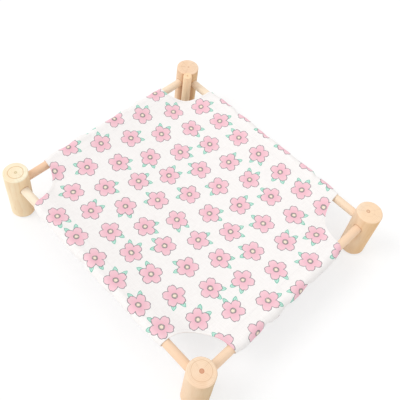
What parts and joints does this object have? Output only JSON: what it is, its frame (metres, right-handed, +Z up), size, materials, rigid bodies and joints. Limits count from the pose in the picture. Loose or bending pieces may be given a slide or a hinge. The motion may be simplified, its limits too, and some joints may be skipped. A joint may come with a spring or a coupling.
{
  "type": "wooden cat bed",
  "caption": "Low raised pet bed: round log posts joined by round wooden rails, with a printed cloth held on the rails by sewn sleeves as a hammock.",
  "frame": {"origin": "on the floor, under the middle of the bed", "axes": "+Z up; +Y along the longer side, from front to back; +X along the shorter side, from left to right; the peg is at the back right post"},
  "size_m": [0.534, 0.5898, 0.137],
  "materials": {
    "post_wood": "sanded peeled pine log, matte, with end grain rings",
    "rail_wood": "sanded pine dowel, matte",
    "screw_steel": "zinc plated",
    "pad_felt": "pressed felt",
    "cloth": "printed plain weave canvas, matte"
  },
  "bodies": {
    "root": {"front_left_post": "post_wood", "front_right_post": "post_wood", "back_right_post": "post_wood", "back_left_post": "post_wood", "front_rail": "rail_wood", "right_rail": "rail_wood", "back_rail": "rail_wood", "left_rail": "rail_wood", "front_rail_front_left_screw": "screw_steel", "front_rail_front_right_screw": "screw_steel", "right_rail_front_right_screw": "screw_steel", "right_rail_back_right_screw": "screw_steel", "back_rail_back_right_screw": "screw_steel", "back_rail_back_left_screw": "screw_steel", "left_rail_back_left_screw": "screw_steel", "left_rail_front_left_screw": "screw_steel", "front_left_foot_pad": "pad_felt", "front_right_foot_pad": "pad_felt", "back_right_foot_pad": "pad_felt", "back_left_foot_pad": "pad_felt", "corner_peg": "rail_wood", "corner_peg_upper_pin": "rail_wood", "corner_peg_lower_pin": "rail_wood", "hammock_cloth": "cloth"}
  },
  "joints": []
}
